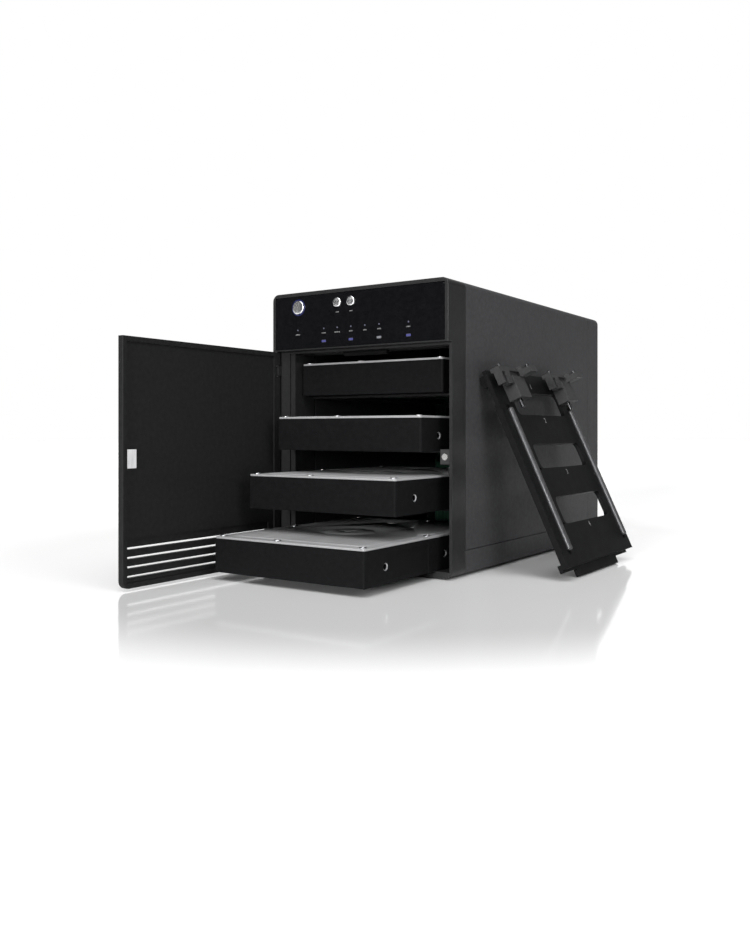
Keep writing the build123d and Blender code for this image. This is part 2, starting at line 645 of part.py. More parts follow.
def make_drive_body():
    """The cast base, with its front at y = 0 and its underside at z = 0."""
    top = DRIVE_HEIGHT - LID_THICK
    body = block(0, DRIVE_WIDTH, 0, DRIVE_LENGTH, 0, top)
    body = fillet(body.edges().filter_by(Axis.Z).group_by(Axis.Y)[0], 1.2)
    # the well for the platters, closed by the lid
    body -= block(5.0, DRIVE_WIDTH - 5.0, 5.0, 112.0, 4.0, top + 1)
    # relief along the sides, behind the front quarter
    for x0, x1 in ((-1, 0.5), (DRIVE_WIDTH - 0.5, DRIVE_WIDTH + 1)):
        body -= block(x0, x1, 30.0, 62.0, -1, top - 3.0)
    # the circuit board's recess underneath, and the socket's notch at the back
    body -= block(4.0, DRIVE_WIDTH - 4.0, 40.0, DRIVE_LENGTH + 1, -1, 1.8)
    centre = socket_centre() - DRIVE_LEFT
    body -= block(centre - 21.5, centre + 21.5, DRIVE_LENGTH - 7.0, DRIVE_LENGTH + 1, 1.0, 8.5)
    for y in SIDE_HOLES:
        for x, outwards in ((0.0, -90), (DRIVE_WIDTH, 90)):
            face = Pos(x, y, SIDE_HOLE_HEIGHT) * Rot(0, outwards, 0)
            body -= face * Cylinder(SIDE_HOLE_RADIUS, 8.0)
            body -= face * Pos(0, 0, -COUNTERSINK_DEPTH / 2) * Cone(
                SIDE_HOLE_RADIUS, COUNTERSINK_RADIUS, COUNTERSINK_DEPTH)
    for x in (3.2, DRIVE_WIDTH - 3.2):
        for y in (41.3, 85.7, 117.5):
            body -= drum_z(x, y, -1, 4.0, 1.4)
    return body


def make_drive_lid():
    """The pressed steel lid: a hub boss, a raised field and a foil-edge line."""
    z0, z1 = DRIVE_HEIGHT - LID_THICK, DRIVE_HEIGHT
    lid = block(0.25, DRIVE_WIDTH - 0.25, 0.25, DRIVE_LENGTH - 4.0, z0, z1 - 0.35)
    lid = fillet(lid.edges().filter_by(Axis.Z), 1.4)
    hub_x, hub_y = hub_place()
    disc = drum_z(hub_x, hub_y, z0, z1 - 0.1, 42.0)
    field = disc + block(12.0, DRIVE_WIDTH - 9.0, 70.0, DRIVE_LENGTH - 22.0, z0, z1 - 0.1)
    lid += field
    lid -= drum_z(hub_x, hub_y, z1 - 0.5, z1 + 1, 20.0)
    lid += drum_z(hub_x, hub_y, z0, z1 - 0.15, 13.0)
    lid -= drum_z(hub_x - 4.5, 114.0, z1 - 0.5, z1 + 1, 4.0)
    return lid


def make_lid_screws():
    screws = []
    top = DRIVE_HEIGHT - 0.35
    for x, y in lid_screw_places():
        head = drum_z(x, y, top, top + 0.5, 2.1)
        head = chamfer(head.edges().group_by(Axis.Z)[-1], 0.2)
        head -= drum_z(x, y, top + 0.1, top + 1, 0.9)
        screws.append(head)
    return group(screws)


def make_drive_board():
    centre = socket_centre() - DRIVE_LEFT
    board = block(4.6, DRIVE_WIDTH - 4.6, 42.0, DRIVE_LENGTH - 8.0, 0.6, 1.8)
    return board + block(centre - 14, centre + 24, 60.0, 84.0, 0.1, 0.7)


# ======== retainer ========
# Local directions: x runs along the plate's width, y up its length, z out from its face.

def retainer_location():
    """Leant so that the tab stands on the floor and the upper ribs rest on the case's side."""
    lean = math.radians(RETAINER_LEAN)
    height = RETAINER_TAB * math.cos(lean) + RETAINER_BACK * math.sin(lean)
    reach = RIB_TOP * math.sin(lean) + RETAINER_BACK * math.cos(lean)
    origin = (RIGHT + 0.06 + reach, FRONT + RETAINER_BEHIND_FRONT, height + 0.01)
    facing = (math.cos(lean), 0, math.sin(lean))
    return Plane(origin=origin, x_dir=(0, 1, 0), z_dir=facing).location


def make_retainer_frame():
    width, length = RETAINER_WIDTH, RETAINER_LENGTH
    plate = block(0, width, 0, length, -RETAINER_PLATE, 0)
    for lower, upper in zip(BAR_BANDS[:-1], BAR_BANDS[1:]):
        window = block(WINDOW_LEFT, WINDOW_RIGHT, lower[1], upper[0], -RETAINER_PLATE - 1, 1)
        plate -= fillet(window.edges().filter_by(Axis.Z), 3.5)
    plate -= block(width - 2.0, width + 1, length - 22.0, length + 1, -RETAINER_PLATE - 1, 1)
    # stiffening edges, the foot that stands behind the face, and its stepped tab
    for x0 in (0, width - 2.0):
        plate += block(x0, x0 + 2.0, 0, length - 22.0, -RETAINER_PLATE - 1.2, -RETAINER_PLATE)
    plate += block(1.0, width - 2.0, 0, 3.0, -RETAINER_BACK, -RETAINER_PLATE)
    plate += block(1.0, width - 2.0, -1.6, 3.0, -RETAINER_BACK, -RETAINER_BACK + 2.2)
    plate += block(20.0, 85.0, -RETAINER_TAB, -1.5, -RETAINER_BACK, -RETAINER_BACK + 2.2)
    # ribs that press on the drives, one at each side of the head
    for x0 in (2.0, width - 6.0):
        plate += block(x0, x0 + 2.4, RIB_TOP - 7.0, RIB_TOP, -RETAINER_BACK, -RETAINER_PLATE)
    # grooves for the two rods
    for x in ROD_PLACES:
        groove = block(x - 2.4, x + 2.4, 7.0, 99.0, -1.0, 1)
        plate -= groove
    # stud holes beside the bars
    for y in (24.5, 58.3):
        plate -= drum_z(18.4, y, -RETAINER_PLATE - 1, 1, 0.8)
    return plate


def make_retainer_rods():
    rods = []
    for x in ROD_PLACES:
        y0, y1 = 9.0, 97.0
        rod = Pos(x, (y0 + y1) / 2, ROD_RADIUS - 1.0) * Rot(90, 0, 0) * Cylinder(ROD_RADIUS, y1 - y0)
        rods.append(fillet(rod.edges().filter_by(GeomType.CIRCLE), 1.2))
    return group(rods)


def make_latch_housings():
    """The two boxes in which the latch sliders run."""
    housings = []
    for step in (0, 1):
        x = LATCH_PITCH * step
        box = block(x + 15.0, x + 31.0, LATCH_LOW, LATCH_HIGH, 0, LATCH_OUT)
        box = chamfer(box.edges().filter_by(Axis.Y).group_by(Axis.Z)[-1], 0.4)
        # bore for the guide pin and the slider's stem
        box -= block(x + 18.0, x + 28.0, LATCH_HIGH - 5.0, LATCH_HIGH + 1, 1.6, LATCH_OUT - 1.4)
        bore = Pos(x + 20.5, (LATCH_LOW + LATCH_HIGH) / 2, 4.3) * Rot(90, 0, 0)
        box -= bore * Cylinder(1.1 + RUNNING_GAP, LATCH_HIGH - LATCH_LOW + 2)
        housings.append(box)
    return group(housings)


def make_latch_slider(step):
    """A bridge with a finger arm at each end; it draws down to free the two top pins."""
    x = LATCH_PITCH * step
    base = LATCH_HIGH + 0.2
    raised = base + LATCH_TRAVEL
    top = raised + BRIDGE_THICK
    bridge = block(x + 1.0, x + 33.0, raised, top, 2.0, LATCH_OUT)
    stem = block(x + 18.3, x + 27.7, LATCH_HIGH - 1.2, raised + 0.1, 1.9, LATCH_OUT - 1.7)
    left_arm = block(x + 1.0, x + 13.5, LATCH_HIGH - 5.0, top, 3.4, LATCH_OUT)
    left_arm -= block(x + 3.0, x + 7.5, LATCH_HIGH - 6.0, raised - 1.0, 2.0, LATCH_OUT + 1)
    # the right arm steps down in front of the housing, with room to pass it
    right_arm = block(x + 25.5, x + 33.0, raised, top, LATCH_OUT - 0.1, LATCH_OUT + 3.0)
    right_arm += block(x + 25.5, x + 33.0, base - 0.6, top - ARM_DROP, LATCH_OUT + 0.4, LATCH_OUT + 8.4)
    return bridge + stem + left_arm + right_arm


def make_latch_pins(step):
    """Two locking pins on top and the guide pin that shows under the housing."""
    x = LATCH_PITCH * step
    top = LATCH_HIGH + 0.2 + LATCH_TRAVEL + BRIDGE_THICK
    pins = []
    for pin_x, foot, pin_z in ((x + 8.0, top, LATCH_OUT - 2.4), (x + 29.5, top - ARM_DROP, LATCH_OUT + 5.2)):
        pin = Pos(pin_x, foot + PIN_LENGTH / 2, pin_z) * Rot(90, 0, 0) * Cylinder(1.1, PIN_LENGTH)
        pins.append(chamfer(pin.edges().group_by(Axis.Y)[-1], 0.3))
    low, high = LATCH_LOW - 5.5, LATCH_HIGH - 1.2
    guide = Pos(x + 20.5, (low + high) / 2, 4.3) * Rot(90, 0, 0) * Cylinder(1.1, high - low)
    pins.append(chamfer(guide.edges().group_by(Axis.Y)[0], 0.3))
    return group(pins)


# ======== write every node ========

def build_nodes():
    nodes = {
        "front_bezel": make_front_bezel(),
        "top_cover": make_top_cover(),
        "base_tray": make_base_tray(),
        "rear_surround": make_rear_surround(),
        "rear_plate": make_rear_plate(),
        "rubber_feet": make_rubber_feet(),
        "cover_screws": make_pan_screws(cover_screw_places(), REAR_FACE, 3.0, 1.5, 6.0),
        "control_panel": make_control_panel(),
        "control_board": make_control_board(),
        "button_switches": make_button_switches(),
        "light_pipes": make_light_pipes(),
        "power_button": make_button(POWER_AT, POWER_ROW, POWER_RADIUS),
        "mode_button": make_button(MODE_AT, SMALL_ROW, SMALL_RADIUS),
        "sync_button": make_button(SYNC_AT, SMALL_ROW, SMALL_RADIUS),
        "retainer_keeper": make_retainer_keeper(),
        "cage_wall_left": make_cage_wall(CAGE_LEFT - CAGE_WALL, CAGE_LEFT),
        "cage_wall_right": make_cage_wall(CAGE_RIGHT, CAGE_RIGHT + CAGE_WALL),
        "bay_shelves": make_bay_shelves(),
        "backplane_board": make_backplane_board(),
        "drive_sockets": make_drive_sockets(),
        "main_board": make_main_board(),
        "board_chips": make_board_chips(),
        "dc_inlet": make_dc_inlet(),
        "usb_socket": make_usb_socket(),
        "esata_socket": make_esata_socket(),
        "door_magnet": make_door_magnet(),
        "magnet_holder": make_magnet_holder(),
        "hinge_pins": make_hinge_pins(),
        "fan_frame": make_fan_frame(),
        "fan_motor_mount": make_fan_motor_mount(),
        "fan_guard": make_fan_guard(),
        "fan_rotor": make_fan_rotor(),
        "fan_blades": make_fan_blades(),
        "fan_screws": make_pan_screws(fan_screw_places(), REAR_FACE + 1.6, 3.2, 2.15, 14.0),
        "door_panel": make_door_panel(),
        "door_liner": make_door_liner(),
        "strike_plate": make_strike_plate(),
    }
    body, lid, screws, board = (make_drive_body(), make_drive_lid(), make_lid_screws(),
                                make_drive_board())
    for bay, proud in DRIVE_PROUD.items():
        place = Pos(DRIVE_LEFT, FRONT - proud, drive_bottom(bay))
        nodes[f"drive_{bay}_body"] = place * body
        nodes[f"drive_{bay}_lid"] = place * lid
        nodes[f"drive_{bay}_lid_screws"] = place * screws
        nodes[f"drive_{bay}_board"] = place * board
    leant = retainer_location()
    nodes["retainer_frame"] = leant * make_retainer_frame()
    nodes["retainer_rods"] = leant * make_retainer_rods()
    nodes["latch_housings"] = leant * make_latch_housings()
    for step, side in enumerate(("front", "rear")):
        nodes[f"latch_slider_{side}"] = leant * make_latch_slider(step)
        nodes[f"latch_pins_{side}"] = leant * make_latch_pins(step)
    return nodes


def main():
    os.makedirs("parts", exist_ok=True)
    for name, shape in build_nodes().items():
        shape.label = name
        export_step(shape, f"parts/{name}.step")


if __name__ == "__main__":
    main()
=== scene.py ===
# %% [markdown]
# # A four-bay drive enclosure, open and half unloaded
# The engineering model comes first, as a fixed frame: every shell, drive, pin and spring-loaded
# latch already stands at its real size and place. This lesson dresses that frame. Shapes that are
# right stay and get a proper finish, and small things that need a softer or finer shape than an
# engineering solid has, such as turned button caps and pressed lids, are modelled here.

# %% Load the frame
import json
import math

import bpy
from mathutils import Matrix, Vector


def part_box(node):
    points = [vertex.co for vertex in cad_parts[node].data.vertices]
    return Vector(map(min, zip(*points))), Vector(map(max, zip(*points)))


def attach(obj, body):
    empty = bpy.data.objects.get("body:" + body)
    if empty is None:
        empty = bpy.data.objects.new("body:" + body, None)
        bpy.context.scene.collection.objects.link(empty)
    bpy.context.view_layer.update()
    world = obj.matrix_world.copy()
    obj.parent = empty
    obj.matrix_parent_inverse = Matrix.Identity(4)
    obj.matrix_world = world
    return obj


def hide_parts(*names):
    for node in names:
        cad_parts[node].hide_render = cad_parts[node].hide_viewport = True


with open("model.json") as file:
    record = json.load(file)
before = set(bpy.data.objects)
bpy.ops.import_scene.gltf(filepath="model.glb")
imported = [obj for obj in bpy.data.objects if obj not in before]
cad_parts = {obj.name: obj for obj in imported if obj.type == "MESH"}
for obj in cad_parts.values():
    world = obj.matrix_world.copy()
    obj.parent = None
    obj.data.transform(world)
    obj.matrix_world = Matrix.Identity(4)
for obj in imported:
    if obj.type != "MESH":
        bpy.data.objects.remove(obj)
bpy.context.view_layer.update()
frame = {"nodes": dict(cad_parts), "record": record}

NODES = frame["nodes"]

# %% [markdown]
# ## The camera
# A product picture of this kind is taken low and level, from the front right corner. A level
# camera keeps every upright edge upright, and a small vertical shift puts the object at the middle
# of the picture instead of tilting the camera down.

# %% Camera
MM = 0.001
CAMERA_AT = (304.85, -546.63, 82.8)
LEVEL, TURNED = math.radians(90), math.radians(34.01)
bpy.ops.object.select_all(action="DESELECT")
bpy.ops.object.camera_add(location=tuple(value * MM for value in CAMERA_AT),
                          rotation=(LEVEL, 0, TURNED))
camera = bpy.context.object
camera.name = "product_camera"
camera.data.sensor_width = 36
camera.data.lens = 34.35
camera.data.shift_y = -0.0412
camera.data.clip_start = 0.01
camera.data.clip_end = 30
bpy.context.scene.camera = camera
print("camera at", tuple(round(v, 3) for v in camera.location))

# %% [markdown]
# ## Floor and light
# Black things are drawn by what they mirror. The room is white behind the object and dim in front
# of it, so the faces turned to the camera stay black while the right side, seen at a slant, picks
# up a grey sheen. A broad light from above shapes the tops, a low fill from the front reaches into
# the open bays, and a small softbox lifts the right side without showing in anything glossy.
#
# The floor is glossy white, so the object stands on its own soft reflection. The polish fades with
# distance from the object, because a mirror that ran to the horizon would reflect the dim side of
# the room and turn grey there.

# %% Room light
world = bpy.context.scene.world or bpy.data.worlds.new("studio")
bpy.context.scene.world = world
world.use_nodes = True
bpy.context.scene.view_settings.view_transform = "Standard"


def wire(tree, source, target):
    """Joins an output socket to an input socket."""
    tree.links.new(source, target)
    return target.node


TOWARDS_BACKDROP = (-0.5554, 0.8316, 0)
BACKDROP_STARTS, BACKDROP_FULL = 0.62, 0.9
DIM_SIDE, BRIGHT_SIDE = 0.1, 1.08


def room_light():
    """White where the camera faces, dim elsewhere, and plain white wherever the camera looks."""
    tree = world.node_tree
    tree.nodes.clear()
    place = tree.nodes.new("ShaderNodeTexCoord")
    facing = tree.nodes.new("ShaderNodeVectorMath")
    facing.operation = "DOT_PRODUCT"
    facing.inputs[1].default_value = TOWARDS_BACKDROP
    wire(tree, place.outputs["Generated"], facing.inputs[0])
    depth = tree.nodes.new("ShaderNodeMapRange")
    depth.interpolation_type = "SMOOTHSTEP"
    depth.inputs["From Min"].default_value = BACKDROP_STARTS
    depth.inputs["From Max"].default_value = BACKDROP_FULL
    depth.inputs["To Min"].default_value = DIM_SIDE
    depth.inputs["To Max"].default_value = BRIGHT_SIDE
    wire(tree, facing.outputs["Value"], depth.inputs["Value"])
    ambient = tree.nodes.new("ShaderNodeBackground")
    wire(tree, depth.outputs["Result"], ambient.inputs["Strength"])
    paper = tree.nodes.new("ShaderNodeBackground")
    paper.inputs["Color"].default_value = (1, 1, 1, 1)
    paper.inputs["Strength"].default_value = 1.0
    path = tree.nodes.new("ShaderNodeLightPath")
    blend = tree.nodes.new("ShaderNodeMixShader")
    wire(tree, path.outputs["Is Camera Ray"], blend.inputs[0])
    wire(tree, ambient.outputs[0], blend.inputs[1])
    wire(tree, paper.outputs[0], blend.inputs[2])
    out = tree.nodes.new("ShaderNodeOutputWorld")
    wire(tree, blend.outputs[0], out.inputs["Surface"])


room_light()


def far_light(name, comes_from, strength, spread_degrees):
    """Even light from one side, as from a very large distant softbox."""
    bpy.ops.object.select_all(action="DESELECT")
    bpy.ops.object.light_add(type="SUN", location=Vector(comes_from))
    lamp = bpy.context.object
    lamp.name = name
    lamp.data.energy = strength
    lamp.data.angle = math.radians(spread_degrees)
    lamp.rotation_euler = Vector(comes_from).to_track_quat("Z", "Y").to_euler()
    return lamp


def softbox(name, place, aim, size, watts):
    """A square area light turned towards a point."""
    bpy.ops.object.select_all(action="DESELECT")
    bpy.ops.object.light_add(type="AREA", location=place)
    lamp = bpy.context.object
    lamp.name = name
    lamp.data.shape = "RECTANGLE"
    lamp.data.size, lamp.data.size_y = size
    lamp.data.energy = watts
    lamp.visible_glossy = False
    lamp.rotation_euler = (Vector(aim) - Vector(place)).to_track_quat("-Z", "Y").to_euler()
    return lamp


far_light("overhead_light", (0.3, -0.45, 1.0), 3.0, 60)
far_light("low_fill", (0.12, -1.0, 0.15), 2.8, 12)
softbox("side_light", (0.7, -0.36, 0.34), (0.06, -0.08, 0.12), (0.3, 0.3), 2.6)

# %% Floor
POLISH_MIDDLE = (-0.02, -0.02, 0)
POLISH_FULL_TO, POLISH_GONE_AT = 0.24, 0.37
MIRROR_SHARE = 0.53

bpy.ops.object.select_all(action="DESELECT")
bpy.ops.mesh.primitive_circle_add(vertices=96, radius=8.0, fill_type="NGON", location=(0, 0, 0))
floor = bpy.context.object
floor.name = "studio_floor"


def acrylic_floor():
    """White acrylic that is polished round the object and matt further out."""
    finish = bpy.data.materials.new("white_acrylic_floor")
    finish.use_nodes = True
    tree = finish.node_tree
    tree.nodes.clear()
    place = tree.nodes.new("ShaderNodeTexCoord")
    from_object = tree.nodes.new("ShaderNodeVectorMath")
    from_object.operation = "DISTANCE"
    from_object.inputs[1].default_value = POLISH_MIDDLE
    wire(tree, place.outputs["Object"], from_object.inputs[0])
    polish = tree.nodes.new("ShaderNodeMapRange")
    polish.interpolation_type = "SMOOTHSTEP"
    polish.inputs["From Min"].default_value = POLISH_FULL_TO
    polish.inputs["From Max"].default_value = POLISH_GONE_AT
    polish.inputs["To Min"].default_value = MIRROR_SHARE
    polish.inputs["To Max"].default_value = 0.0
    wire(tree, from_object.outputs["Value"], polish.inputs["Value"])
    matt = tree.nodes.new("ShaderNodeBsdfDiffuse")
    matt.inputs["Color"].default_value = (0.97, 0.97, 0.97, 1)
    gloss = tree.nodes.new("ShaderNodeBsdfGlossy")
    gloss.inputs["Color"].default_value = (0.99, 0.99, 0.99, 1)
    gloss.inputs["Roughness"].default_value = 0.09
    blend = tree.nodes.new("ShaderNodeMixShader")
    wire(tree, polish.outputs["Result"], blend.inputs[0])
    wire(tree, matt.outputs[0], blend.inputs[1])
    wire(tree, gloss.outputs[0], blend.inputs[2])
    out = tree.nodes.new("ShaderNodeOutputMaterial")
    wire(tree, blend.outputs[0], out.inputs["Surface"])
    return finish


floor.data.materials.append(acrylic_floor())
print("room and floor ready")

# %% [markdown]
# ## Finishes
# Each finish starts as one shader with its plain values, and then gets what the real surface has:
# the orange peel of powder coat, the fine spark-eroded grain of a moulding, the long scratches of
# rolled steel. All patterns read object coordinates, which are metres here, so a pattern size is a
# real size. The turned metal is different: its highlight is stretched across tangents that run
# round the Y axis, as the tool marks of a lathe do.

# %% Finish helpers
def plain_finish(name, colour, roughness, metallic=0.0, coat=0.0, specular=0.5):
    """A material with one shader, with every constant on the shader's own socket."""
    finish = bpy.data.materials.new(name)
    finish.use_nodes = True
    shader = finish.node_tree.nodes["Principled BSDF"]
    shader.inputs["Base Color"].default_value = (*colour, 1)
    shader.inputs["Roughness"].default_value = roughness
    shader.inputs["Metallic"].default_value = metallic
    shader.inputs["Coat Weight"].default_value = coat
    shader.inputs["Specular IOR Level"].default_value = specular
    return finish, finish.node_tree, shader


def object_pattern(tree, stretch=(1, 1, 1)):
    """Object coordinates, stretched or squeezed along the axes."""
    place = tree.nodes.new("ShaderNodeTexCoord")
    mapping = tree.nodes.new("ShaderNodeMapping")
    mapping.inputs["Scale"].default_value = stretch
    wire(tree, place.outputs["Object"], mapping.inputs["Vector"])
    return mapping.outputs["Vector"]


def noise(tree, size_mm, detail=2.0, stretch=(1, 1, 1)):
    """Noise with blobs of about the given size."""
    texture = tree.nodes.new("ShaderNodeTexNoise")
    texture.inputs["Scale"].default_value = 1000.0 / size_mm
    texture.inputs["Detail"].default_value = detail
    wire(tree, object_pattern(tree, stretch), texture.inputs["Vector"])
    return texture.outputs["Fac"]


def between(tree, value, low, high, from_low=0.3, from_high=0.7):
    """Spreads a pattern over a range of values."""
    spread = tree.nodes.new("ShaderNodeMapRange")
    for key, number in (("From Min", from_low), ("From Max", from_high), ("To Min", low),
                        ("To Max", high)):
        spread.inputs[key].default_value = number
    wire(tree, value, spread.inputs["Value"])
    return spread.outputs["Result"]


def two_tones(tree, value, dark, light, start=0.35, stop=0.65):
    """A colour that wanders between two tones."""
    ramp = tree.nodes.new("ShaderNodeValToRGB")
    ramp.color_ramp.elements[0].position = start
    ramp.color_ramp.elements[0].color = (*dark, 1)
    ramp.color_ramp.elements[1].position = stop
    ramp.color_ramp.elements[1].color = (*light, 1)
    wire(tree, value, ramp.inputs["Fac"])
    return ramp.outputs["Color"]


def bumps(tree, shader, value, height_mm, strength=1.0):
    """Raises the surface by a pattern."""
    bump = tree.nodes.new("ShaderNodeBump")
    bump.inputs["Strength"].default_value = strength
    bump.inputs["Distance"].default_value = height_mm * MM
    wire(tree, value, bump.inputs["Height"])
    wire(tree, bump.outputs["Normal"], shader.inputs["Normal"])


# %% Paints and mouldings
def moulded(name, dark, light, roughness, grain_mm=0.35, height_mm=0.012, coat=0.0, specular=0.5):
    """Grained plastic or coated metal: two close tones, a fine relief and an uneven gloss."""
    finish, tree, shader = plain_finish(name, light, roughness, coat=coat, specular=specular)
    tone = two_tones(tree, noise(tree, 2.5, 4.0), dark, light)
    wire(tree, tone, shader.inputs["Base Color"])
    gloss = between(tree, noise(tree, 9.0, 3.0), roughness - 0.02, roughness + 0.025)
    wire(tree, gloss, shader.inputs["Roughness"])
    bumps(tree, shader, noise(tree, grain_mm, 2.0), height_mm, 0.6)
    return finish


powder_coat = moulded("powder_coat", (0.032, 0.032, 0.0335), (0.04, 0.04, 0.0418), 0.5,
                      grain_mm=0.8, height_mm=0.01, specular=0.1)
bezel_moulding = moulded("bezel_moulding", (0.010, 0.010, 0.0104), (0.013, 0.013, 0.0134), 0.42,
                         specular=0.28)
door_moulding = moulded("door_moulding", (0.010, 0.010, 0.0102), (0.013, 0.013, 0.0133), 0.5,
                        specular=0.12)
retainer_moulding = moulded("retainer_moulding", (0.003, 0.003, 0.0032), (0.0045, 0.0045, 0.0048),
                            0.45, specular=0.1)
latch_moulding = moulded("latch_moulding", (0.024, 0.024, 0.0245), (0.03, 0.03, 0.0305), 0.45,
                         specular=0.2)
cage_paint = moulded("cage_paint", (0.012, 0.012, 0.013), (0.016, 0.016, 0.017), 0.5, 0.6,
                     specular=0.3)
fan_moulding = moulded("fan_moulding", (0.014, 0.014, 0.014), (0.02, 0.02, 0.02), 0.45)
socket_moulding = moulded("socket_moulding", (0.01, 0.01, 0.01), (0.016, 0.016, 0.016), 0.5)
foot_rubber = moulded("foot_rubber", (0.014, 0.014, 0.014), (0.02, 0.02, 0.02), 0.8, 0.5, 0.03)
casting_paint = moulded("casting_paint", (0.004, 0.004, 0.0044), (0.0056, 0.0056, 0.006), 0.55,
                        grain_mm=0.55, height_mm=0.03, specular=0.05)
gloss_fascia = moulded("gloss_fascia", (0.0025, 0.0025, 0.0032), (0.004, 0.004, 0.0048), 0.1,
                       grain_mm=14.0, height_mm=0.004, specular=0.3)
print("mouldings ready")


# %% Metals
def rolled_steel(name, dark, light, roughness, along=(1, 1, 1), size_mm=0.5, metallic=1.0,
                 height_mm=0.004):
    """Metal with fine lines along one direction."""
    finish, tree, shader = plain_finish(name, light, roughness, metallic=metallic)
    lines = noise(tree, size_mm, 3.0, along)
    wire(tree, two_tones(tree, lines, dark, light), shader.inputs["Base Color"])
    wire(tree, between(tree, noise(tree, 12.0, 3.0), roughness - 0.06, roughness + 0.07),
         shader.inputs["Roughness"])
    bumps(tree, shader, lines, height_mm, 0.5)
    return finish


lid_steel = rolled_steel("lid_steel", (0.25, 0.25, 0.255), (0.32, 0.32, 0.325), 0.42, (1, 0.03, 1),
                         metallic=0.15)
bright_steel = rolled_steel("bright_steel", (0.5, 0.5, 0.52), (0.62, 0.62, 0.63), 0.28, (0.1, 1, 1))
turned_metal = rolled_steel("turned_metal", (0.86, 0.86, 0.87), (0.95, 0.95, 0.96), 0.2)
lathe_lines = turned_metal.node_tree.nodes.new("ShaderNodeTangent")
lathe_lines.direction_type, lathe_lines.axis = "RADIAL", "Y"
turned_shader = turned_metal.node_tree.nodes["Principled BSDF"]
turned_shader.inputs["Anisotropic"].default_value = 0.85
wire(turned_metal.node_tree, lathe_lines.outputs["Tangent"], turned_shader.inputs["Tangent"])
black_zinc = rolled_steel("black_zinc", (0.05, 0.05, 0.052), (0.09, 0.09, 0.092), 0.34)
satin_rod = rolled_steel("satin_rod", (0.04, 0.04, 0.042), (0.065, 0.065, 0.067), 0.42,
                         (1, 0.1, 0.1), metallic=0.4)
bare_aluminium = rolled_steel("bare_aluminium", (0.28, 0.28, 0.29), (0.38, 0.38, 0.39), 0.35,
                              metallic=0.5)
strike_metal = rolled_steel("strike_metal", (0.62, 0.62, 0.63), (0.74, 0.74, 0.75), 0.4,
                            (1, 1, 0.1), metallic=0.25)
black_pin = rolled_steel("black_pin", (0.05, 0.05, 0.052), (0.08, 0.08, 0.082), 0.4)
nickel = rolled_steel("nickel", (0.62, 0.61, 0.6), (0.72, 0.71, 0.7), 0.2)
print("metals ready")


# %% Boards, lamps and print
def board_mask():
    """Solder mask over a grid of tracks."""
    finish, tree, shader = plain_finish("board_mask", (0.01, 0.05, 0.03), 0.35)
    tracks = tree.nodes.new("ShaderNodeTexBrick")
    tracks.inputs["Scale"].default_value = 160
    tracks.inputs["Mortar Size"].default_value = 0.03
    tracks.inputs["Color1"].default_value = (0.006, 0.04, 0.022, 1)
    tracks.inputs["Color2"].default_value = (0.008, 0.05, 0.028, 1)
    tracks.inputs["Mortar"].default_value = (0.02, 0.1, 0.05, 1)
    wire(tree, object_pattern(tree), tracks.inputs["Vector"])
    wire(tree, tracks.outputs["Color"], shader.inputs["Base Color"])
    bumps(tree, shader, tracks.outputs["Fac"], 0.03, 0.5)
    return finish


def glowing(name, colour, glow, strength):
    """A small lit window; its glow wanders a little, as diffused light does."""
    finish, tree, shader = plain_finish(name, colour, 0.25)
    wire(tree, two_tones(tree, noise(tree, 0.9, 1.0), [c * 0.7 for c in glow], glow),
         shader.inputs["Emission Color"])
    shader.inputs["Emission Strength"].default_value = strength
    return finish


def paint_print(name, dark, light):
    """Pad-printed ink: thin, matt and slightly uneven."""
    finish, tree, shader = plain_finish(name, light, 0.55)
    wire(tree, two_tones(tree, noise(tree, 0.6, 3.0), dark, light), shader.inputs["Base Color"])
    return finish


solder_mask = board_mask()
lamp_glow = glowing("lamp_glow", (0.02, 0.02, 0.03), (0.3, 0.31, 0.42), 0.5)
blue_glow = glowing("blue_glow", (0.02, 0.02, 0.1), (0.06, 0.06, 0.4), 0.4)
ring_glow = glowing("ring_glow", (0.006, 0.008, 0.04), (0.01, 0.015, 0.16), 0.3)
grey_print = paint_print("grey_print", (0.12, 0.12, 0.12), (0.2, 0.2, 0.2))
print("boards, lamps and print ready")

# %% [markdown]
# ## Dress the frame
# A finish belongs to what a part is made of, so the record's slot names choose it. Parts that get
# a new shape further down are dressed too, and are hidden when their new piece takes over.

# %% Give every node its finish
FINISH_OF_SLOT = {
    "case_steel": powder_coat, "bezel_plastic": bezel_moulding, "fascia": gloss_fascia,
    "lamp": lamp_glow, "button_metal": turned_metal, "rubber": foot_rubber,
    "zinc_screw": black_zinc, "drive_casting": casting_paint, "drive_lid": lid_steel,
    "lid_screw": bright_steel, "circuit_board": solder_mask, "black_part": socket_moulding,
    "steel": bright_steel, "magnet": nickel, "fan_plastic": fan_moulding, "rod": satin_rod,
    "retainer_plastic": retainer_moulding, "cage_steel": cage_paint,
}
FINISH_OF_NODE = {
    "door_panel": door_moulding, "door_liner": door_moulding, "strike_plate": strike_metal,
    "latch_housings": latch_moulding, "latch_slider_front": latch_moulding,
    "latch_slider_rear": latch_moulding, "latch_pins_front": black_pin,
    "latch_pins_rear": black_pin,
}
for part in frame["record"]["subparts"]:
    finish = FINISH_OF_NODE.get(part["node"], FINISH_OF_SLOT[part["material_slot"]])
    for place in NODES[part["node"]].material_slots:
        place.material = finish

# %% [markdown]
# ## Tools for the hand-made pieces
# Blender's operators act on whatever is selected, so each step first clears the selection, and then
# picks the faces or edges it means by where they are. Places are given in millimetres, because
# that is how a part of this size is drawn.

# %% Modelling helpers
def only(piece):
    """Leaves object mode with just this piece selected and active."""
    if bpy.context.object and bpy.context.object.mode != "OBJECT":
        bpy.ops.object.mode_set(mode="OBJECT")
    bpy.ops.object.select_all(action="DESELECT")
    piece.select_set(True)
    bpy.context.view_layer.objects.active = piece


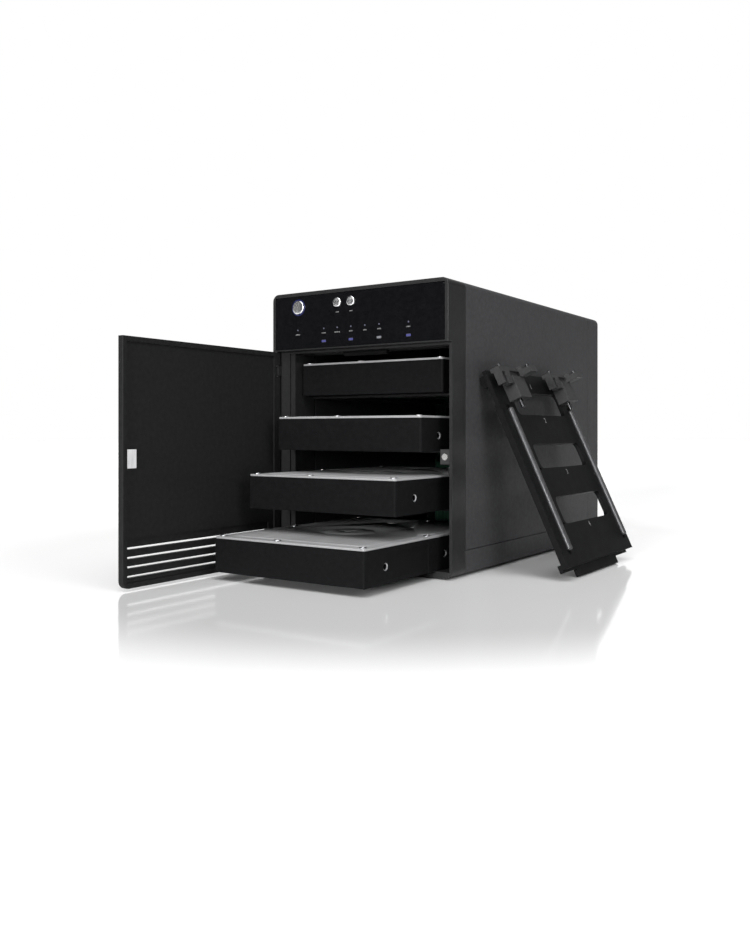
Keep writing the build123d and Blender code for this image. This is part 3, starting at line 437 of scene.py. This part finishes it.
def nothing_selected():
    """Leaves object mode with nothing selected, ready for a new primitive."""
    if bpy.context.object and bpy.context.object.mode != "OBJECT":
        bpy.ops.object.mode_set(mode="OBJECT")
    bpy.ops.object.select_all(action="DESELECT")


def named(name):
    """Names the new primitive and applies its place, so that it lies in the frame's own axes."""
    piece = bpy.context.object
    piece.name = piece.data.name = name
    bpy.ops.object.transform_apply(location=True, rotation=True, scale=True)
    return piece


def slab(name, low, high):
    """A block between two corners in millimetres."""
    nothing_selected()
    low, high = Vector(low) * MM, Vector(high) * MM
    bpy.ops.mesh.primitive_cube_add(size=1, location=(low + high) / 2, scale=high - low)
    return named(name)


def drum(name, middle, radius, length, turn, sides=64):
    """A cylinder in millimetres; turn lays it along another axis."""
    nothing_selected()
    bpy.ops.mesh.primitive_cylinder_add(vertices=sides, radius=radius * MM, depth=length * MM,
                                        location=Vector(middle) * MM, rotation=turn)
    return named(name)


def edit_faces(piece, test):
    """Opens edit mode with only the faces selected whose centre and normal pass the test."""
    only(piece)
    bpy.context.tool_settings.mesh_select_mode = (False, False, True)
    for item in (*piece.data.vertices, *piece.data.edges):
        item.select = False
    for face in piece.data.polygons:
        face.select = bool(test(face.center, face.normal))
    bpy.ops.object.mode_set(mode="EDIT")


def edit_edges(piece, test):
    """Opens edit mode with only the edges selected whose two ends pass the test."""
    only(piece)
    bpy.context.tool_settings.mesh_select_mode = (False, True, False)
    points = piece.data.vertices
    for item in (*points, *piece.data.polygons):
        item.select = False
    for edge in piece.data.edges:
        edge.select = bool(test(points[edge.vertices[0]].co, points[edge.vertices[1]].co))
    bpy.ops.object.mode_set(mode="EDIT")


def soften(piece, width_mm, segments=2, angle=35):
    """A small bevel along every sharp edge."""
    only(piece)
    bpy.ops.object.modifier_add(type="BEVEL")
    bevel = piece.modifiers[-1]
    bevel.width, bevel.segments = width_mm * MM, segments
    bevel.limit_method = "ANGLE"
    bevel.angle_limit = math.radians(angle)
    bpy.ops.object.modifier_apply(modifier=bevel.name)


def carve(piece, cutter, operation="DIFFERENCE"):
    """Cuts the piece with another one, or adds it, and removes the tool."""
    only(piece)
    bpy.ops.object.modifier_add(type="BOOLEAN")
    cut = piece.modifiers[-1]
    cut.operation, cut.object, cut.solver = operation, cutter, "EXACT"
    bpy.ops.object.modifier_apply(modifier=cut.name)
    bpy.data.objects.remove(cutter)


def joined(name, pieces):
    """Makes one object of several."""
    nothing_selected()
    for piece in pieces:
        piece.select_set(True)
    bpy.context.view_layer.objects.active = pieces[0]
    bpy.ops.object.join()
    piece = bpy.context.object
    piece.name = piece.data.name = name
    return piece


def settle(piece, body, finish, angle=30):
    """Shades, paints and mounts a finished piece on its body."""
    only(piece)
    bpy.ops.object.shade_smooth_by_angle(angle=math.radians(angle))
    piece.data.materials.clear()
    piece.data.materials.append(finish)
    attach(piece, body)
    return piece


def millimetres(node):
    """A node's box in millimetres, as its low and high corners."""
    low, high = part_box(node)
    return low / MM, high / MM


print("modelling helpers ready")

# %% [markdown]
# ## Turned button caps
# The three buttons are turned from bright metal. The lathe leaves fine rings on the face, and the
# rings are what make such a cap flash in two opposite fans of light. A flat disc would mirror one
# even tone, so the face is built ring by ring: inset, lift, inset, lower.

# %% Caps
FACING = (math.radians(90), 0, 0)
FLANGE_WIDTH, FLANGE_BACK, COLLAR_THICK = 0.7, 3.5, 0.8
RIM_ROUND = 0.55
RING_PITCH, RING_STEP, RING_LIFT = 0.42, 0.19, 0.035
STEM_RADIUS = 1.2


def turned_cap(node, body):
    """A cap with a rounded rim, a ringed face, a flange behind the fascia and a stem."""
    low, high = millimetres(node)
    middle_x, middle_z = (low.x + high.x) / 2, (low.z + high.z) / 2
    radius = (high.x - low.x) / 2 - FLANGE_WIDTH
    face, flange, back = low.y, low.y + FLANGE_BACK, high.y
    cap = drum(node + "_cap", (middle_x, (face + flange) / 2, middle_z), radius, flange - face,
               FACING, 72)
    edit_edges(cap, lambda a, b: max(a.y, b.y) < (face + 0.1) * MM)
    bpy.ops.mesh.bevel(offset=RIM_ROUND * MM, segments=5)
    rings = int(radius / RING_PITCH)
    edit_faces(cap, lambda centre, normal: normal.y < -0.99 and centre.y < (face + 0.1) * MM)
    for ring in range(rings):
        bpy.ops.mesh.inset(thickness=RING_STEP * MM)
        bpy.ops.transform.translate(value=(0, (RING_LIFT if ring % 2 else -RING_LIFT) * MM, 0))
        bpy.ops.mesh.inset(thickness=RING_STEP * MM)
    edit_faces(cap, lambda centre, normal: normal.y > 0.99 and centre.y > (flange - 0.1) * MM)
    bpy.ops.mesh.inset(thickness=(radius - STEM_RADIUS) * MM)
    bpy.ops.mesh.extrude_region_move(
        TRANSFORM_OT_translate={"value": (0, (back - flange) * MM, 0)})
    bpy.ops.object.mode_set(mode="OBJECT")
    collar = drum(node + "_collar", (middle_x, flange + COLLAR_THICK / 2, middle_z),
                  radius + FLANGE_WIDTH, COLLAR_THICK, FACING, 72)
    soften(collar, 0.15)
    cap = joined(node + "_cap", [cap, collar])
    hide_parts(node)
    return settle(cap, body, turned_metal)


for button in ("power", "mode", "sync"):
    cap = turned_cap(button + "_button", button + "_button_body")
    print(cap.name, len(cap.data.polygons), "faces")

# %% [markdown]
# ## Pressed lids
# A drive's lid is thin stainless steel, pressed over the motor and stepped in at every screw. The
# light runs along those soft steps, and that is what tells a pressing from a milled plate. One lid
# is built as a press tool would form it, sheet, field, dish and hub, and then copied to each drive.

# %% One pressed lid
SHEET_TOP, FIELD_TOP = 19.8, 20.12
HUB, HUB_REACH, DISH_REACH = (48.5, 61.0), 13.5, 19.2
PIVOT = (44.0, 114.0)
DRIVE_WIDTH = 101.6
LID_INSET, LID_UNDERSIDE = 0.25, 18.7
LID_CORNER, FIELD_CORNER = 1.4, 6.0
FIELD_LOW, FIELD_HIGH = (5.6, 7.6, 19.0), (96.0, 137.0, FIELD_TOP)
NOTCH_RADIUS = 5.6
BREATHER_AT = (70.0, 96.0, 20.0)
SCREWS_AT = [(x, y) for x in (3.6, DRIVE_WIDTH - 3.6) for y in (3.8, 66.0, 135.0)]
SCREWS_AT += [(DRIVE_WIDTH / 2 - 8, 3.4), (DRIVE_WIDTH / 2 + 6.0, 137.0)]


def round_corners(piece, radius, segments=5):
    """Rounds the upright edges of a slab."""
    edit_edges(piece, lambda a, b: abs(a.x - b.x) + abs(a.y - b.y) < 1e-6)
    bpy.ops.mesh.bevel(offset=radius * MM, segments=segments)
    bpy.ops.object.mode_set(mode="OBJECT")


def dish_tool(name, place, floor_radius, mouth_radius, low, high, sides=72):
    """A cone that cuts, or raises, a round step with a sloping wall."""
    nothing_selected()
    bpy.ops.mesh.primitive_cone_add(vertices=sides, radius1=floor_radius * MM,
                                    radius2=mouth_radius * MM, depth=(high - low) * MM,
                                    location=Vector((*place, (low + high) / 2)) * MM)
    return named(name)


def pressed_lid():
    """A lid at the drive's own corner, with z up from the drive's underside."""
    lid = slab("lid_sheet", (LID_INSET, LID_INSET, LID_UNDERSIDE), (101.35, 143.0, SHEET_TOP))
    round_corners(lid, LID_CORNER)
    field = slab("lid_field", FIELD_LOW, FIELD_HIGH)
    round_corners(field, FIELD_CORNER, 8)
    notches = [drum("notch", (x, y, 19.6), NOTCH_RADIUS, 4.0, (0, 0, 0), 40) for x, y in SCREWS_AT]
    carve(field, joined("notches", notches))
    soften(field, 0.3, 3)
    carve(lid, field, "UNION")
    carve(lid, dish_tool("dish", HUB, DISH_REACH, DISH_REACH + 2.4, 19.6, FIELD_TOP + 0.06))
    hub = dish_tool("hub", HUB, HUB_REACH + 0.9, HUB_REACH, 19.4, 20.0)
    carve(lid, hub, "UNION")
    carve(lid, dish_tool("spindle_well", HUB, 3.4, 4.2, 19.7, 20.06))
    carve(lid, drum("spindle_screw", (*HUB, 19.7), 2.4, 0.4, (0, 0, 0), 40), "UNION")
    carve(lid, dish_tool("pivot_well", PIVOT, 4.0, 4.8, 19.7, FIELD_TOP + 0.06))
    carve(lid, drum("pivot_screw", (*PIVOT, 19.7), 2.9, 0.9, (0, 0, 0), 40), "UNION")
    carve(lid, drum("pivot_slot", (*PIVOT, 20.1), 1.1, 0.6, (0, 0, 0), 6))
    carve(lid, drum("breather", BREATHER_AT, 1.0, 1.4, (0, 0, 0), 24))
    soften(lid, 0.08, 2)
    return lid


lid_model = pressed_lid()
print("one lid has", len(lid_model.data.polygons), "faces")


def copied(piece, name, offset):
    """A copy with its own mesh, shifted by millimetres."""
    only(piece)
    bpy.ops.object.duplicate()
    twin = bpy.context.object
    twin.name = twin.data.name = name
    twin.location = Vector(offset) * MM
    bpy.ops.object.transform_apply(location=True, rotation=True, scale=True)
    return twin


drive_corners = {}
for bay in (1, 2, 3, 4):
    low, high = millimetres(f"drive_{bay}_lid")
    drive_corners[bay] = (low.x - LID_INSET, low.y - LID_INSET, low.z - LID_UNDERSIDE)
    lid = copied(lid_model, f"drive_{bay}_pressed_lid", drive_corners[bay])
    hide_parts(f"drive_{bay}_lid")
    settle(lid, f"drive_{bay}", lid_steel, 40)
    print(lid.name, "from", [round(value, 1) for value in drive_corners[bay]])
bpy.data.objects.remove(lid_model)

# %% [markdown]
# ## Threaded sleeves
# The countersunk holes in a drive's sides are threaded in bare aluminium. The black paint stops at
# the countersink, so a small bright cone shows at each hole. It is a tube with a flared mouth.

# %% Sleeves
SIDE_HOLES_AT, SIDE_HOLE_HEIGHT = (19.4, 80.5, 122.0), 8.8
SUNK, REACH = 0.4, 0.46
WIDE, NARROW = 2.05, 1.62
SLEEVE_WALL = 0.08


def sleeve(name, place, outwards):
    """A thin flared lining; outwards is +1 on the right side of the drive and -1 on the left."""
    nothing_selected()
    middle = Vector(place) - Vector((outwards * (SUNK + REACH / 2), 0, 0))
    ends = (NARROW, WIDE) if outwards > 0 else (WIDE, NARROW)
    bpy.ops.mesh.primitive_cone_add(vertices=40, radius1=ends[0] * MM, radius2=ends[1] * MM,
                                    depth=REACH * MM, end_fill_type="NOTHING",
                                    location=middle * MM, rotation=(0, math.radians(90), 0))
    lining = named(name)
    only(lining)
    bpy.ops.object.modifier_add(type="SOLIDIFY")
    wall = lining.modifiers[-1]
    wall.thickness, wall.offset = SLEEVE_WALL * MM, -1
    bpy.ops.object.modifier_apply(modifier=wall.name)
    return lining


for bay, corner in drive_corners.items():
    linings = []
    for side, outwards in ((0.0, -1), (DRIVE_WIDTH, 1)):
        for along in SIDE_HOLES_AT:
            place = (corner[0] + side, corner[1] + along, corner[2] + SIDE_HOLE_HEIGHT)
            linings.append(sleeve(f"sleeve_{bay}", place, outwards))
    sleeves = joined(f"drive_{bay}_thread_sleeves", linings)
    settle(sleeves, f"drive_{bay}", bare_aluminium)
print("sleeves in", len(drive_corners), "drives")

# %% [markdown]
# ## The lit ring
# A dark blue ring of clear plastic stands round the power button. It is a short tube with a
# rounded front, made from a disc by cutting a narrower cylinder out of its middle.

# %% Power button's ring
def round_ring(name, middle, inner, outer, depth, turn, sides=72):
    """A flat ring with softened edges."""
    ring = drum(name, middle, outer, depth, turn, sides)
    core = drum(name + "_core", middle, inner, depth * 3, turn, sides)
    carve(ring, core)
    soften(ring, depth * 0.3)
    return ring


FASCIA = millimetres("control_panel")[0].y
power_low, power_high = millimetres("power_button")
POWER_X, POWER_Z = (power_low.x + power_high.x) / 2, (power_low.z + power_high.z) / 2
RING_INNER, RING_OUTER, RING_DEPTH, RING_PROUD = 4.36, 5.0, 0.3, 0.1
power_ring = round_ring("power_ring", (POWER_X, FASCIA - RING_PROUD, POWER_Z), RING_INNER,
                        RING_OUTER, RING_DEPTH, FACING)
settle(power_ring, "case", ring_glow)
print("ring at", round(POWER_X, 1), round(POWER_Z, 1))

# %% [markdown]
# ## Printed legends
# Under each lamp and button a real panel has a short word in tiny print. Words would be somebody's
# own, so each legend here is a row of plain strokes of the same size and weight. They are thin
# slabs on the fascia, so they stand out from it by no more than ink does.

# %% Strokes
INK = 0.04


def stroke_word(name, x, z, widths, height, gap=0.28):
    """A row of upright strokes centred on x, each as wide as its number says."""
    total = sum(widths) + gap * (len(widths) - 1)
    left = x - total / 2
    strokes = []
    for number, width in enumerate(widths):
        top = height if number % 3 else height * 0.86
        strokes.append(slab(f"{name}_{number}", (left, FASCIA - INK, z - height / 2),
                            (left + width, FASCIA, z - height / 2 + top)))
        left += width + gap
    return joined(name, strokes)


case_low, case_high = millimetres("front_bezel")
CASE_TOP = case_high.z
GRID = 10.0
LEFT_EDGE = case_low.x
LAMP_ROW, ICON_ROW, BUTTON_WORD_ROW = CASE_TOP - 23.2, CASE_TOP - 30.8, CASE_TOP - 14.0
ICON_WORD = (0.6, 0.5, 0.7, 0.5)
LAMPS_AT = [LEFT_EDGE + GRID * step for step in (2, 4, 5, 6, 7, 8, 10)]
WORDS = ((0.5, 0.7, 0.5, 0.7), (0.6, 0.4, 0.7, 0.5), (0.5, 0.5, 0.8, 0.4, 0.6),
         (0.7, 0.5, 0.6), (0.4, 0.7, 0.5), (0.6, 0.6, 0.6), (0.5, 0.8, 0.5))
legends = []
for x, word in zip(LAMPS_AT, WORDS):
    legends.append(stroke_word("lamp_legend", x, LAMP_ROW - 2.7, word, 0.7))
for step in (5, 6):
    legends.append(stroke_word("button_legend", LEFT_EDGE + GRID * step, BUTTON_WORD_ROW,
                               (0.5, 0.6, 0.5), 0.6))
grey_icon = stroke_word("grey_icon", LEFT_EDGE + GRID * 8, ICON_ROW, ICON_WORD, 1.1)
legends.append(grey_icon)
legend_strokes = joined("legend_strokes", legends)
settle(legend_strokes, "case", grey_print)
blue_words = [stroke_word("blue_icon", LEFT_EDGE + GRID * step, ICON_ROW, ICON_WORD, 1.1)
              for step in (4, 6, 10)]
blue_strokes = joined("blue_strokes", blue_words)
settle(blue_strokes, "case", blue_glow)
print(len(legend_strokes.data.polygons) // 6, "grey strokes")

# %% [markdown]
# ## Bay numbers on the retainer
# The retainer's bars carry the number of the bay that each one closes. Text is made a mesh first,
# and only then turned into the leaning plane of the bar.

# %% Numbers
LEAN = math.radians(24.7)
NUMERAL_HEIGHT, NUMERAL_RELIEF = 4.4, 0.03
NUMBERS_ACROSS = 55.0
NUMBERS_UP = ((4, 21.0), (3, 55.0), (2, 89.4), (1, 112.6))
UP_THE_PLATE = Vector((-math.sin(LEAN), 0, math.cos(LEAN)))
OUT_OF_PLATE = Vector((math.cos(LEAN), 0, math.sin(LEAN)))
ALONG_PLATE = Vector((0, 1, 0))
PLATE_ORIGIN = Vector((118.60, -81.5, 8.135))


def on_plate(across, up, out):
    """A point of the leaning plate in millimetres, in the frame's axes."""
    return PLATE_ORIGIN + ALONG_PLATE * across + UP_THE_PLATE * up + OUT_OF_PLATE * out


def plate_number(digit, across, up):
    """One raised numeral, laid in the plane of the leaning plate."""
    nothing_selected()
    bpy.ops.object.text_add()
    number = bpy.context.object
    number.data.body = str(digit)
    number.data.size = NUMERAL_HEIGHT * MM
    number.data.extrude = NUMERAL_RELIEF * MM
    number.data.align_x, number.data.align_y = "CENTER", "CENTER"
    bpy.ops.object.convert(target="MESH")
    number = bpy.context.object
    turn = Matrix((ALONG_PLATE, UP_THE_PLATE, OUT_OF_PLATE)).transposed().to_4x4()
    number.matrix_world = Matrix.Translation(on_plate(across, up, 0.02) * MM) @ turn
    bpy.ops.object.transform_apply(location=True, rotation=True, scale=True)
    return number


numbers = [plate_number(digit, NUMBERS_ACROSS, up) for digit, up in NUMBERS_UP]
bay_numbers = joined("bay_numbers", numbers)
settle(bay_numbers, "retainer", grey_print)
print("numbers from", bay_numbers.data.vertices[0].co)
